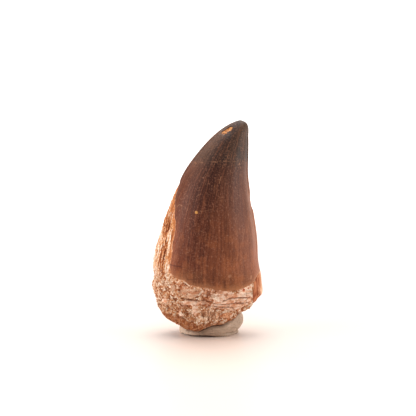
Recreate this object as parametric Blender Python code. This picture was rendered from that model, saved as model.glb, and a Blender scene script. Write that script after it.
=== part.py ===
"""A fossil mosasaur tooth, standing in the lump of grey putty that holds it upright.

The tooth is one piece: an enamelled crown that leans to the right, a stub of broken root below it, and a
strip down its left edge where the enamel has come away. The putty is a second piece, pressed flat where
it stands and pressed hollow where the root sits in it.

Units are metres, +Z is up, +X is to the right of someone who faces the tooth's broad front, and +Y runs
away from them. The origin is the middle of the putty's flat underside. Sizes below are in millimetres.
"""

import math

import bmesh
import bpy
from mathutils import Vector, noise

MM = 0.001

# The smooth form of the tooth, read at stations from the rim of the root up to the shoulder of the tip.
# Each row holds: left edge x and z, right edge x and z, y of the plane through both edges, and how far the
# front and the back bulge from that plane.
STATIONS = (
    (-14.2, 6.8, 12.2, 10.2, 0.3, 7.0, 6.6),
    (-14.6, 9.8, 12.4, 11.9, 0.1, 8.8, 8.1),
    (-14.95, 14.6, 12.1, 15.2, 0.0, 9.8, 8.8),
    (-14.1, 19.5, 11.4, 19.6, 0.0, 10.2, 9.2),
    (-12.7, 24.8, 11.1, 24.8, 0.0, 10.0, 9.1),
    (-11.2, 30.2, 10.35, 30.2, 0.1, 9.3, 8.6),
    (-9.1, 35.4, 9.45, 35.4, 0.3, 8.3, 7.8),
    (-6.65, 40.4, 8.85, 40.4, 0.6, 7.0, 6.8),
    (-3.3, 45.1, 8.9, 45.1, 1.0, 5.5, 5.5),
    (0.2, 49.1, 8.95, 49.1, 1.5, 3.9, 4.0),
    (3.15, 51.8, 9.0, 51.5, 1.9, 2.5, 2.5),
    (5.3, 53.1, 8.6, 52.9, 2.2, 1.3, 1.3),
)
TIP = Vector((7.3, 2.3, 53.7))

# How high the broken rim of the root is for each x, in front, and how many stations up its line has died
# away. The rim hangs a little less at the back, and the broken face between them is slightly domed.
RIM = (
    (-14.2, 6.8), (-13.2, 5.1), (-11.9, 4.2), (-10.1, 3.3), (-8.1, 2.4), (-5.5, 1.7), (-3.0, 1.45),
    (-1.2, 1.8), (0.5, 2.3), (2.8, 2.9), (4.6, 3.7), (6.4, 4.7), (7.5, 5.5), (8.8, 6.2), (10.6, 7.1),
    (11.7, 8.7), (12.2, 10.2),
)
RIM_REACH = 4.0
BACK_RIM_SHARE = 0.86
UNDERSIDE_DOME = 0.5

# Where the enamel ends. The hem is a height for each x, above the root. The break is an angle round the
# tooth from its left edge for each height, and the enamel has come away from everything left of it.
HEM = ((-14.0, 18.5), (-9.9, 15.7), (-7.7, 14.9), (-5.4, 13.9), (-2.3, 13.4), (3.4, 12.5), (6.9, 12.4),
       (9.4, 12.7), (10.6, 10.8), (12.6, 9.6))
BACK_HEM_WAVE = (1.3, 5.0)
BREAK_FRONT = ((6.0, 55.0), (15.7, 50.0), (18.4, 47.0), (25.6, 44.0), (29.2, 42.0), (30.4, 35.0),
               (32.5, 26.0), (34.5, 20.0), (36.7, 13.0), (38.4, 6.0), (40.0, -12.0))
BREAK_BACK = ((6.0, 44.0), (14.5, 38.0), (20.5, 34.0), (26.0, 30.0), (31.0, 22.0), (35.0, 8.0), (39.0, -12.0))
MM_PER_DEGREE = 0.19
ENAMEL_EDGE_WIDTH = 1.3
ENAMEL_THICKNESS = 0.4

# Relief of the bare root: height in millimetres, then the size of one lump.
ROOT_LUMPS = (0.6, 4.2)
ROOT_KNOBS = (0.4, 1.9)
KNOBS_PLACE = Vector((7.3, 1.9, 4.4))

# Relief of the bare left flank, which takes over from the root's above a height, blended over a span. Ridges
# run up it: height, width in degrees, length. The setback from the enamel dies away towards the left edge.
FLANK_FROM = 15.0
FLANK_BLEND = 5.0
FLANK_RIDGES = (0.34, 12.0, 16.0)
FLANK_SETBACK_DEGREES = 25.0

# Relief of the crown: flat facets as height, width in degrees and length, and a keel along both edges that
# dies away towards the tip and, on the left, down towards the break.
CROWN_FACETS = (0.08, 34.0, 30.0)
KEEL_HEIGHT = 0.26
KEEL_HALF_WIDTH = 9.0
KEEL_TOP_FADE = 6.0
LEFT_KEEL_FROM = 36.0
LEFT_KEEL_FADE = 8.0
RIDGES_ROW = 2.5
FACETS_ROW = 9.1

# Single features, as middle, radius and height: the chip beside the tip and the spur at the right corner.
TIP_CHIP = (Vector((4.2, 0.0, 51.4)), 1.9, -0.5)
RIGHT_SPUR = (Vector((12.2, -1.6, 10.8)), 2.4, 0.5)

SIDES_AROUND = 72
RINGS_UP = 47
RINGS_UNDER = 6

# The putty: its reach left and right, and front to back, and its height at the left and right ends. It is
# widest at its waist, tucks in below that to its foot, and bulges in lobes as depth, count and phase.
PUTTY_REACH = (7.5, 5.7)
PUTTY_LEFT_HEIGHT = 3.6
PUTTY_RIGHT_HEIGHT = 7.4
PUTTY_WAIST = 0.4
PUTTY_FOOT_SHARE = 0.86
PUTTY_FULLNESS = 0.55
PUTTY_TOP_LIFT = 0.93
PUTTY_LOBES = ((0.05, 3, 0.6), (0.03, 5, 0.0))
PUTTY_DENTS = (0.42, 3.6)
DENTS_PLACE = Vector((3.1, 8.2, 0.7))
PUTTY_SIDES = 44
PUTTY_RINGS = 16
FIT_GAP = 0.35


def clamp(value, low=0.0, high=1.0):
    return max(low, min(high, value))


def smooth(value):
    """Eases from 0 to 1 as the value does."""
    value = clamp(value)
    return value * value * (3 - 2 * value)


def mix(a, b, share):
    return a + (b - a) * share


def along(points, at):
    """Reads a line given as (position, value) pairs, straight between them."""
    if at <= points[0][0]:
        return points[0][1]
    for (low, start), (high, end) in zip(points, points[1:]):
        if at <= high:
            return mix(start, end, (at - low) / (high - low))
    return points[-1][1]


def station(t):
    """The seven measures of the smooth form at station t, on a curve through the rows of STATIONS."""
    last = len(STATIONS) - 1
    index = min(int(t), last - 1)
    f = t - index
    rows = [STATIONS[int(clamp(index + step, 0, last))] for step in (-1, 0, 1, 2)]
    return [
        0.5 * (2 * b + (c - a) * f + (2 * a - 5 * b + 4 * c - d) * f**2 + (3 * b - a - 3 * c + d) * f**3)
        for a, b, c, d in zip(*rows)
    ]


def rim_drop(across):
    """How far the front rim lies below a straight line between its left and right corners."""
    left_x, left_z, right_x, right_z = STATIONS[0][:4]
    return mix(left_z, right_z, across) - along(RIM, mix(left_x, right_x, across))


def skin(t, angle):
    """A point of the smooth tooth. The angle is 0 at the left edge, 90 in front and 180 at the right edge."""
    left_x, left_z, right_x, right_z, plane_y, front, back = station(t)
    turn = math.radians(angle)
    across = (1 - math.cos(turn)) / 2
    facing_front = math.sin(turn) > 0
    drop = rim_drop(across) * (1 if facing_front else BACK_RIM_SHARE) * clamp(1 - t / RIM_REACH) ** 2
    x = mix(left_x, right_x, across)
    y = plane_y - (front if facing_front else back) * math.sin(turn)
    return Vector((x, y, mix(left_z, right_z, across) - drop))


def underside(share, angle):
    """A point of the broken underside, from its middle at share 0 out to the rim at share 1."""
    rim = skin(0, angle)
    middle = (skin(0, 90) + skin(0, -90)) / 2
    x = mix(middle.x, rim.x, share)
    y = mix(middle.y, rim.y, share)
    left_x, right_x = skin(0, 0).x, skin(0, 180).x
    turn = math.degrees(math.acos(clamp(1 - 2 * (x - left_x) / (right_x - left_x), -1, 1)))
    front, back = skin(0, turn), skin(0, -turn)
    backward = (y - front.y) / max(back.y - front.y, 1e-6)
    return Vector((x, y, mix(front.z, back.z, clamp(backward)) - UNDERSIDE_DOME * (1 - share**2)))


def even_stations(count):
    """Station values that split the way up the tooth's middle into equal steps."""
    fine = 600
    last = len(STATIONS) - 1
    steps = [last * i / fine for i in range(fine + 1)]
    middles = [(skin(t, 90) + skin(t, -90)) / 2 for t in steps]
    walked = [0.0]
    for a, b in zip(middles, middles[1:]):
        walked.append(walked[-1] + (b - a).length)
    marks = []
    i = 0
    for k in range(count):
        target = walked[-1] * k / (count - 1)
        while walked[i] < target - 1e-9:
            i += 1
        marks.append(steps[i])
    return marks


def enamel_cover(angle, point):
    """1 where the crown still has its enamel, 0 on the bare root and on the broken left flank."""
    in_front = angle >= 0
    wave, length = BACK_HEM_WAVE
    hem = along(HEM, point.x) + (0 if in_front else wave * math.sin(point.x / length))
    above_hem = (point.z - hem) / ENAMEL_EDGE_WIDTH + 0.5
    edge = along(BREAK_FRONT if in_front else BREAK_BACK, point.z)
    past_break = (abs(angle) - edge) * MM_PER_DEGREE / ENAMEL_EDGE_WIDTH + 0.5
    return smooth(above_hem) * smooth(past_break)


def bump_at(point, bump):
    """A round swelling or hollow, as (middle, radius, height)."""
    middle, radius, height = bump
    return height * smooth(1 - (point - middle).length / radius)


def bare_relief(angle, point):
    """Lumps and knobs on the root, ridges up the flank."""
    height, size = ROOT_LUMPS
    lumps = height * noise.noise(point / size)
    height, size = ROOT_KNOBS
    lumps += height * noise.noise(point / size + KNOBS_PLACE) - ENAMEL_THICKNESS
    height, width, length = FLANK_RIDGES
    ridges = height * noise.noise(Vector((angle / width, point.z / length, RIDGES_ROW)))
    ridges -= ENAMEL_THICKNESS * smooth(abs(angle) / FLANK_SETBACK_DEGREES)
    return mix(lumps, ridges, smooth((point.z - FLANK_FROM) / FLANK_BLEND))


def crown_relief(angle, point):
    """Broad facets, the keels and the chip beside the tip."""
    height, width, length = CROWN_FACETS
    raised = height * noise.noise(Vector((angle / width, point.z / length, FACETS_ROW)))
    on_left = abs(angle) < 90
    from_keel = abs(angle) if on_left else 180 - abs(angle)
    keel = KEEL_HEIGHT * smooth(1 - from_keel / KEEL_HALF_WIDTH) * smooth((TIP.z - point.z) / KEEL_TOP_FADE)
    if on_left:
        keel *= smooth((point.z - LEFT_KEEL_FROM) / LEFT_KEEL_FADE)
    chip = bump_at(Vector((point.x, 0, point.z)), TIP_CHIP) if angle > 0 else 0.0
    return raised + keel + chip


def relief(angle, point, under):
    """How far the real surface stands off the smooth form."""
    enamel = 0.0 if under else enamel_cover(angle, point)
    return mix(bare_relief(angle, point), crown_relief(angle, point), enamel) + bump_at(point, RIGHT_SPUR)


def skin_faces(bm, rings, bottom, top):
    """Joins the rings to each other and closes both ends to a point."""
    for low, high in zip(rings, rings[1:]):
        for i in range(len(low)):
            j = (i + 1) % len(low)
            bm.faces.new((low[i], low[j], high[j], high[i]))
    for i in range(len(rings[0])):
        j = (i + 1) % len(rings[0])
        bm.faces.new((rings[0][j], rings[0][i], bottom))
        bm.faces.new((rings[-1][i], rings[-1][j], top))


def material(name, colour, roughness):
    made = bpy.data.materials.new(name)
    made.use_nodes = True
    shader = made.node_tree.nodes["Principled BSDF"]
    shader.inputs["Base Color"].default_value = (*colour, 1)
    shader.inputs["Roughness"].default_value = roughness
    shader.inputs["Metallic"].default_value = 0.0
    return made


def add_object(name, bm, finish):
    """Turns a bmesh in millimetres into an object in metres."""
    bmesh.ops.recalc_face_normals(bm, faces=bm.faces)
    bmesh.ops.scale(bm, vec=(MM, MM, MM), verts=bm.verts)
    mesh = bpy.data.meshes.new(name)
    bm.to_mesh(mesh)
    bm.free()
    mesh.materials.append(finish)
    mesh.shade_smooth()
    mesh.set_sharp_from_angle(angle=math.radians(40))
    made = bpy.data.objects.new(name, mesh)
    bpy.context.scene.collection.objects.link(made)
    return made


def tooth_mesh(swelling=0.0):
    """The tooth with its relief, grown outwards all over by the swelling."""
    bm = bmesh.new()
    places = {}
    rings = []
    angles = [180 - 360 * i / SIDES_AROUND for i in range(SIDES_AROUND)]
    for k in range(1, RINGS_UNDER + 1):
        ring = [bm.verts.new(underside(k / (RINGS_UNDER + 1), angle)) for angle in angles]
        places.update({vert: (angle, True) for vert, angle in zip(ring, angles)})
        rings.append(ring)
    for t in even_stations(RINGS_UP):
        ring = [bm.verts.new(skin(t, angle)) for angle in angles]
        places.update({vert: (angle, False) for vert, angle in zip(ring, angles)})
        rings.append(ring)
    bottom = bm.verts.new(underside(0, 90))
    top = bm.verts.new(TIP)
    skin_faces(bm, rings, bottom, top)
    bmesh.ops.recalc_face_normals(bm, faces=bm.faces)
    bm.normal_update()
    moves = {vert: vert.normal * relief(angle, vert.co, under) for vert, (angle, under) in places.items()}
    for vert, move in moves.items():
        vert.co += move
    if swelling:
        bm.normal_update()
        swells = {vert: vert.normal * swelling for vert in bm.verts}
        for vert, swell in swells.items():
            vert.co += swell
    return bm


def build_tooth():
    return add_object("tooth", tooth_mesh(), material("fossil_tooth", (0.2, 0.075, 0.045), 0.42))


def putty_point(lift, turn):
    """A point of the putty before the root is pressed in. The lift is -1 at its foot and 1 on top."""
    if lift < 0:
        reach = mix(1.0, PUTTY_FOOT_SHARE, smooth(-lift))
        rise = PUTTY_WAIST * (1 + lift)
    else:
        reach = math.cos(lift * math.pi / 2) ** PUTTY_FULLNESS
        rise = mix(PUTTY_WAIST, 1.0, math.sin(lift * math.pi / 2))
    for depth, count, phase in PUTTY_LOBES:
        reach *= 1 + depth * math.sin(count * turn + phase)
    x = PUTTY_REACH[0] * reach * math.cos(turn)
    y = PUTTY_REACH[1] * reach * math.sin(turn)
    rightward = (x / PUTTY_REACH[0] + 1) / 2
    return Vector((x, y, rise * mix(PUTTY_LEFT_HEIGHT, PUTTY_RIGHT_HEIGHT, smooth(rightward))))


def build_putty():
    """A squeezed lump, flat underneath, with the swollen tooth taken out of its top."""
    bm = bmesh.new()
    turns = [2 * math.pi * i / PUTTY_SIDES for i in range(PUTTY_SIDES)]
    lifts = [mix(-1, PUTTY_TOP_LIFT, k / (PUTTY_RINGS - 1)) for k in range(PUTTY_RINGS)]
    rings = [[bm.verts.new(putty_point(lift, turn)) for turn in turns] for lift in lifts]
    for low, high in zip(rings, rings[1:]):
        for i in range(PUTTY_SIDES):
            j = (i + 1) % PUTTY_SIDES
            bm.faces.new((low[i], low[j], high[j], high[i]))
    bm.faces.new(rings[0])
    bm.faces.new(rings[-1])
    bmesh.ops.recalc_face_normals(bm, faces=bm.faces)
    bm.normal_update()
    height, size = PUTTY_DENTS
    for ring in rings[1:]:
        for vert in ring:
            dent = height * noise.noise(vert.co / size + DENTS_PLACE)
            vert.co += vert.normal * dent * smooth(vert.co.z)
    putty = add_object("putty", bm, material("grey_putty", (0.4, 0.33, 0.27), 0.75))
    hollow = add_object("root_hollow", tooth_mesh(FIT_GAP), material("hollow", (0.5, 0.5, 0.5), 0.5))
    hollow.hide_render = True
    hollow.display_type = "WIRE"
    cut = putty.modifiers.new("pressed in", "BOOLEAN")
    cut.operation = "DIFFERENCE"
    cut.solver = "EXACT"
    cut.use_self = True
    cut.object = hollow
    return putty


def main():
    for old in list(bpy.data.objects):
        bpy.data.objects.remove(old)
    build_tooth()
    build_putty()


main()
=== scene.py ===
# %% [markdown]
# # A fossil tooth on its lump of putty
#
# The real object is a marine reptile's tooth, dug out of desert phosphate. It has a dark enamelled crown, a
# stub of broken, sandy root, and a strip down its left edge where the enamel has come away. A pinch of grey
# putty holds it upright. The solids of both pieces already exist at their true size. This lesson gives them
# the surface that the eye reads: the ledge where the enamel ends, the grains of the root, the fibres of the
# bared strip, and the colours that go with each.

# %% Load the solids
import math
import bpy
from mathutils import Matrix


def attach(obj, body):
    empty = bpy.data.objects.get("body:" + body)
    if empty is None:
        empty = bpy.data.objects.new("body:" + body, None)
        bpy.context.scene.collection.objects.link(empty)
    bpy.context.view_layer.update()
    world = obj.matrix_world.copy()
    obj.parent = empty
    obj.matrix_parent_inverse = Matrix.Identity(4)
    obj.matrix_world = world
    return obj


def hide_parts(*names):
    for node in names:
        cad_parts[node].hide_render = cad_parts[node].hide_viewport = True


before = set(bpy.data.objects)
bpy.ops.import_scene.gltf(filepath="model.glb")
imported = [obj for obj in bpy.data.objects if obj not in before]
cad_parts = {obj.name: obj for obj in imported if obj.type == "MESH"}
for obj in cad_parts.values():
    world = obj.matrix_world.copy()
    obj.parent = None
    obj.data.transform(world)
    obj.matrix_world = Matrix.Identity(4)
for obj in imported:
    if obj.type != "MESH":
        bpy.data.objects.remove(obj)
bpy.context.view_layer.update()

# %% Other modules and units
from types import SimpleNamespace

import bpy
import numpy as np
from mathutils import Vector, noise
from mathutils.bvhtree import BVHTree

MM = 0.001

# %% [markdown]
# ## The camera
#
# The photograph looks at the tooth's broad side from a little above. A long lens from almost half a metre
# keeps the outline close to a flat drawing, which is how small things are usually photographed. The camera
# is placed by its distance and elevation from the point that it looks at.

# %% Camera
IMAGE_SIDE_PX = 416
SENSOR_MM = 36.0
VIEW_SIDE_MM = 104.0
VIEW_DISTANCE_MM = 450.0
VIEW_ELEVATION = math.radians(8.0)
LOOK_AT = Vector((-0.75, 0.0, 31.94)) * MM


def toward(start, target):
    """The rotation that points a camera or a lamp from start to target."""
    return (target - start).to_track_quat("-Z", "Y").to_euler()


backwards = Vector((0, -math.cos(VIEW_ELEVATION), math.sin(VIEW_ELEVATION)))
camera_place = LOOK_AT + backwards * VIEW_DISTANCE_MM * MM
bpy.ops.object.camera_add(location=camera_place, rotation=toward(camera_place, LOOK_AT))
camera = bpy.context.object
camera.data.sensor_width = SENSOR_MM
camera.data.lens = SENSOR_MM * VIEW_DISTANCE_MM / VIEW_SIDE_MM
camera.data.dof.use_dof = False
bpy.context.scene.camera = camera
print(f"lens {camera.data.lens:.1f} mm, {IMAGE_SIDE_PX / VIEW_SIDE_MM:.1f} pixels to a millimetre")

# %% [markdown]
# ## Light
#
# The photograph was taken in a white tent: the light is soft and comes from both sides and above, and little
# of it comes from the camera's own direction, so the middle of the glossy crown stays dark. Large area lamps
# stand in for the tent's walls and roof. The roof is behind the tooth, so the shadow falls towards the
# camera. The world adds a dim even fill for the surfaces, but shows plain white behind everything.

# %% Lamps and world
LAMPS = {
    "left_wall": {"place": (-330, -100, 130), "side": 280, "watts": 0.95},
    "right_wall": {"place": (350, -60, 110), "side": 280, "watts": 0.8},
    "roof": {"place": (-10, 150, 420), "side": 540, "watts": 2.6},
}
LAMP_TARGET = Vector((0, 0, 22)) * MM
FILL = 0.42
BACKGROUND = 1.0

for name, lamp in LAMPS.items():
    place = Vector(lamp["place"]) * MM
    bpy.ops.object.light_add(type="AREA", location=place, rotation=toward(place, LAMP_TARGET))
    light = bpy.context.object
    light.name = name
    light.data.size = lamp["side"] * MM
    light.data.energy = lamp["watts"]

world = bpy.data.worlds.new("white_tent")
world.use_nodes = True
bpy.context.scene.world = world
sky = world.node_tree.nodes["Background"]
sky.inputs["Color"].default_value = (1, 1, 1, 1)
ray = world.node_tree.nodes.new("ShaderNodeLightPath")
strength = world.node_tree.nodes.new("ShaderNodeMapRange")
strength.inputs["To Min"].default_value = FILL
strength.inputs["To Max"].default_value = BACKGROUND
world.node_tree.links.new(ray.outputs["Is Camera Ray"], strength.inputs["Value"])
world.node_tree.links.new(strength.outputs["Result"], sky.inputs["Strength"])
bpy.context.scene.view_settings.view_transform = "Standard"
print("lamps:", list(LAMPS))

# %% [markdown]
# ## Shader maths
#
# A material here is mostly arithmetic on masks. Wiring Math nodes by hand hides the sum that they stand for,
# so one small class wraps a node's output and lets Python's own operators add the nodes. Every other kind of
# node comes from its one method, which sets the node's settings first and its sockets second.

# %% The wire class


class Wire:
    """An output in a material's node tree. Sums of wires add Math nodes."""

    def __init__(self, tree, socket=None):
        self.tree = tree
        self.socket = socket

    def node(self, kind, output, settings=None, sockets=None):
        """Adds a node and returns one of its outputs."""
        made = self.tree.nodes.new(kind)
        for name, value in (settings or {}).items():
            if name == "stops":
                ramp = made.color_ramp.elements
                while len(ramp) < len(value):
                    ramp.new(1.0)
                for stop, (position, colour) in zip(ramp, value):
                    stop.position = position
                    stop.color = (*colour, 1)
            else:
                setattr(made, name, value)
        for name, value in (sockets or {}).items():
            if isinstance(value, Wire):
                self.tree.links.new(value.socket, made.inputs[name])
            else:
                made.inputs[name].default_value = value
        return Wire(self.tree, made.outputs[output])

    def maths(self, operation, first, second=0.0):
        return self.node("ShaderNodeMath", 0, {"operation": operation}, {0: first, 1: second})

    def __add__(self, other):
        return self.maths("ADD", self, other)

    __radd__ = __add__

    def __sub__(self, other):
        return self.maths("SUBTRACT", self, other)

    def __rsub__(self, other):
        return self.maths("SUBTRACT", other, self)

    def __mul__(self, other):
        return self.maths("MULTIPLY", self, other)

    __rmul__ = __mul__

    def __truediv__(self, other):
        return self.maths("DIVIDE", self, other)

    def __abs__(self):
        return self.maths("ABSOLUTE", self)

    def between(self, low, high):
        """Eases from 0 to 1 as this wire goes from low to high."""
        sockets = {"Value": self, "From Min": low, "From Max": high}
        return self.node("ShaderNodeMapRange", 0, {"interpolation_type": "SMOOTHSTEP"}, sockets)

    def vector(self, operation, second, output=0):
        return self.node("ShaderNodeVectorMath", output, {"operation": operation}, {0: self, 1: second})

    def ramp(self, *stops):
        """A colour read from this wire, as (position, colour) stops."""
        return self.node("ShaderNodeValToRGB", "Color", {"stops": stops}, {"Fac": self})

    def paint(self, under, over, blend="MIX"):
        """The colour over laid on the colour under, where this wire is 1."""
        settings = {"data_type": "RGBA", "blend_type": blend}
        return self.node("ShaderNodeMix", 2, settings, {0: self, 6: opaque(under), 7: opaque(over)})

    def stain(self, under, over):
        """The colour under multiplied by the colour over, where this wire is 1."""
        return self.paint(under, over, "MULTIPLY")


def opaque(colour):
    """A wire as it is, or a colour with the fourth number that a socket wants."""
    return colour if isinstance(colour, Wire) else (*colour, 1)


def srgb(red, green, blue):
    """A colour as a shader wants it, from the 0 to 255 numbers that a picture shows."""
    def linear(value):
        share = value / 255
        return share / 12.92 if share <= 0.04045 else ((share + 0.055) / 1.055) ** 2.4

    return tuple(linear(value) for value in (red, green, blue))


# %% [markdown]
# ## What every finish starts from
#
# Each finish reads the same few things: the place of a point in millimetres, soft noise of a given size, and
# numbers stored on the piece. One function sets up a material with them, so the recipes below stay short.

# %% A new finish


def new_finish(name):
    """A new material, and the wires that its recipe starts from."""
    finish = bpy.data.materials.new(name)
    finish.use_nodes = True
    start = Wire(finish.node_tree)
    metres = start.node("ShaderNodeTexCoord", "Object")
    place = start.node("ShaderNodeVectorMath", 0, {"operation": "SCALE"}, {0: metres, "Scale": 1 / MM})
    x, y, z = (start.node("ShaderNodeSeparateXYZ", axis, None, {0: place}) for axis in range(3))
    return finish, SimpleNamespace(start=start, place=place, x=x, y=y, z=z)


def cloud(at, size, detail=2.0, distortion=0.0, place=None):
    """Soft noise from 0 to 1 about 0.5, in lumps of the given size in millimetres."""
    place = at.place if place is None else place
    sockets = {"Vector": place, "Scale": 1 / size, "Detail": detail, "Distortion": distortion}
    return at.start.node("ShaderNodeTexNoise", 0, None, sockets)


def stored(at, name):
    """A number that is stored on the piece's points."""
    return at.start.node("ShaderNodeAttribute", "Fac", {"attribute_name": name})


def finish_with(finish, colour, rough, bumps, specular):
    """Joins a colour, a roughness and a height in millimetres to the material's shader."""
    shader = finish.node_tree.nodes["Principled BSDF"]
    shader.inputs["Specular IOR Level"].default_value = specular
    normal = bumps.node("ShaderNodeBump", 0, None, {"Strength": 1.0, "Distance": MM, "Height": bumps})
    finish.node_tree.links.new(colour.socket, shader.inputs["Base Color"])
    finish.node_tree.links.new(rough.socket, shader.inputs["Roughness"])
    finish.node_tree.links.new(normal.socket, shader.inputs["Normal"])
    return finish


# %% [markdown]
# ## The floor
#
# The photograph's surface is overexposed to plain white, and turns a warm pink only where the tooth shades
# it. A floor that is slightly warm and overlit does the same. It is a little glossy, so the tooth leaves a
# faint warm reflection in front of itself. A weak cool glow takes the warmth back a centimetre or two away,
# and further off in front, where the photograph stays warm for longer. Beyond that the lamps fade, so the
# floor glows plain white there, like the background.

# %% Floor
FLOOR_SIDE_MM = 8000.0
FLOOR_COLOUR = (0.93, 0.76, 0.66)
FLOOR_GLOSS = {"Roughness": 0.3, "Specular IOR Level": 0.45, "Emission Strength": 1.0}
GLOW_REACH_MM = 600.0
GLOW = (
    (0.01, (0.0, 0.0, 0.0)), (0.03, (0.05, 0.11, 0.13)), (0.07, (0.05, 0.11, 0.14)),
    (0.2, (0.1, 0.2, 0.3)),
)
GLOW_STRETCH = (1.0, 0.35, 1.0)
WHITE_FROM_MM = 130.0
WHITE_FULL_MM = 230.0

bpy.ops.mesh.primitive_plane_add(size=FLOOR_SIDE_MM * MM)
floor = bpy.context.object
floor.name = "pale_floor"
paper, at = new_finish("pale_floor")
away = at.place.vector("MULTIPLY", GLOW_STRETCH).vector("LENGTH", (0, 0, 0), "Value")
glow = (away / GLOW_REACH_MM).ramp(*GLOW)
far = at.place.vector("LENGTH", (0, 0, 0), "Value").between(WHITE_FROM_MM, WHITE_FULL_MM)
glow = far.paint(glow, (1, 1, 1))
shader = paper.node_tree.nodes["Principled BSDF"]
shader.inputs["Base Color"].default_value = (*FLOOR_COLOUR, 1)
for name, value in FLOOR_GLOSS.items():
    shader.inputs[name].default_value = value
paper.node_tree.links.new(glow.socket, shader.inputs["Emission Color"])
floor.data.materials.append(paper)
print("floor side in metres:", FLOOR_SIDE_MM * MM)

# %% [markdown]
# ## Where things are on the tooth
#
# Grain, streaks and cracks on a tooth follow its length, and they close in on each other towards the tip. To
# paint along them, each point of the surface needs to know how far round the tooth it lies. Two curves give
# the x of the left and right edges at each height. From them comes the turn: 0 at the left edge, 90 in the
# middle of the front, 180 at the right edge, and the same numbers with a minus sign on the back.

# %% Curves of the form
LEFT_EDGE = (
    (1.0, -9.0), (6.8, -14.2), (9.8, -14.6), (14.6, -14.9), (19.5, -14.1), (24.8, -12.7), (30.2, -11.2),
    (35.4, -9.1), (40.4, -6.65), (45.1, -3.3), (49.1, 0.2), (51.8, 3.15), (53.1, 5.3), (53.7, 7.0),
)
RIGHT_EDGE = (
    (1.0, 8.0), (10.2, 12.2), (11.9, 12.4), (15.2, 12.1), (19.6, 11.4), (24.8, 11.1), (30.2, 10.35),
    (35.4, 9.45), (40.4, 8.85), (45.1, 8.9), (49.1, 8.95), (51.5, 9.0), (52.9, 8.6), (53.7, 7.4),
)
MIDDLE_Y = (
    (6.8, 0.3), (14.6, 0.0), (24.8, 0.0), (35.4, 0.3), (45.1, 1.0), (49.1, 1.5), (53.1, 2.2), (53.7, 2.3),
)

# The enamel's lower hem is a height for each x. On the back a slow wave is added to it.
HEM = (
    (-14.0, 18.5), (-10.2, 16.7), (-9.0, 15.8), (-7.9, 15.1), (-6.7, 14.9), (-5.2, 13.95), (-3.7, 13.45),
    (-1.8, 13.4), (-0.6, 13.4), (1.4, 12.75), (3.4, 12.45), (5.7, 12.5), (7.0, 12.45), (8.6, 12.8),
    (9.6, 13.2), (10.45, 13.9), (11.1, 14.7), (11.6, 15.5), (12.2, 15.9), (14.0, 16.4),
)
BACK_HEM_WAVE = (1.3, 5.0)

# The enamel's broken left edge is a turn for each height. Towards its top the strip narrows to a point.
BREAK_FRONT = (
    (6.0, 55.0), (15.7, 51.0), (18.4, 47.0), (21.5, 46.0), (25.6, 44.0), (28.6, 43.0), (29.4, 41.0),
    (30.4, 37.0), (32.5, 30.0), (34.5, 24.0), (36.4, 15.0), (37.6, 8.0), (38.6, 0.0), (40.0, -12.0),
)
BREAK_BACK = (
    (6.0, 44.0), (14.5, 38.0), (20.5, 34.0), (26.0, 30.0), (31.0, 22.0), (35.0, 14.0), (37.6, 8.0),
    (38.6, 0.0), (40.0, -12.0),
)
POINT_FROM_Z, POINT_FULL_Z, POINT_SLOPE = 32.0, 36.5, 0.35
MM_PER_DEGREE_SHARE = 0.0075

# %% Reading the curves


def read(curve, at):
    """Reads a curve of (position, value) pairs at every number of an array."""
    positions, values = zip(*curve)
    return np.interp(at, positions, values)


def ease(value):
    """Eases from 0 to 1 as the value does, for a whole array."""
    value = np.clip(value, 0, 1)
    return value * value * (3 - 2 * value)


def turn_of(points):
    """How far round the tooth each point lies, in degrees, minus on the back."""
    x, y, z = points.T
    left, right = read(LEFT_EDGE, z), read(RIGHT_EDGE, z)
    across = np.clip((x - left) / (right - left), 0, 1)
    turn = np.degrees(np.arccos(1 - 2 * across))
    return np.where(y < read(MIDDLE_Y, z), turn, -turn)


def break_of(points):
    """The turn at which the enamel starts beside the bared strip, at the height of each point."""
    z = points[:, 2]
    return np.where(turn_of(points) >= 0, read(BREAK_FRONT, z), read(BREAK_BACK, z))


def enamel_distance(points):
    """Millimetres from the nearest edge of the enamel, plus where there is enamel."""
    x, y, z = points.T
    turn = turn_of(points)
    wave, length = BACK_HEM_WAVE
    above_hem = z - read(HEM, x) - np.where(turn >= 0, 0, wave * np.sin(x / length))
    mm_per_degree = (read(RIGHT_EDGE, z) - read(LEFT_EDGE, z)) * MM_PER_DEGREE_SHARE
    from_break = (np.abs(turn) - break_of(points)) * mm_per_degree
    narrowing = POINT_SLOPE * ease((z - POINT_FROM_Z) / (POINT_FULL_Z - POINT_FROM_Z))
    return np.minimum(above_hem, from_break + narrowing * np.abs(y - read(MIDDLE_Y, z)))


# %% [markdown]
# ## A finer mesh for the tooth
#
# The solid has about a millimetre between its points, enough for the form but not for the surface. A copy of
# it is merged, because a loaded solid is loose triangles, turned back into quads, and subdivided twice. The
# bare root and the bared strip carry the finest detail, so their faces are selected by place and split once
# more. The crown is smooth and can do without, and so can the underside and the middle of the back, which
# keeps the whole piece under 200,000 triangles.

# %% Copies and modifiers
MERGE_DISTANCE = 0.00001


def only(piece):
    """Selects one piece and nothing else."""
    bpy.ops.object.select_all(action="DESELECT")
    piece.select_set(True)
    bpy.context.view_layer.objects.active = piece


def merged_copy(node, name):
    """A new piece from a copy of a solid's mesh, with its doubles merged and its triangles paired."""
    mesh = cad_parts[node].data.copy()
    mesh.name = name
    mesh.materials.clear()
    piece = bpy.data.objects.new(name, mesh)
    bpy.context.scene.collection.objects.link(piece)
    only(piece)
    bpy.ops.mesh.customdata_custom_splitnormals_clear()
    bpy.ops.object.mode_set(mode="EDIT")
    bpy.ops.mesh.select_all(action="SELECT")
    bpy.ops.mesh.remove_doubles(threshold=MERGE_DISTANCE)
    bpy.ops.mesh.tris_convert_to_quads()
    bpy.ops.mesh.select_all(action="DESELECT")
    bpy.ops.mesh.select_mode(type="FACE")
    bpy.ops.object.mode_set(mode="OBJECT")
    return piece


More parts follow.
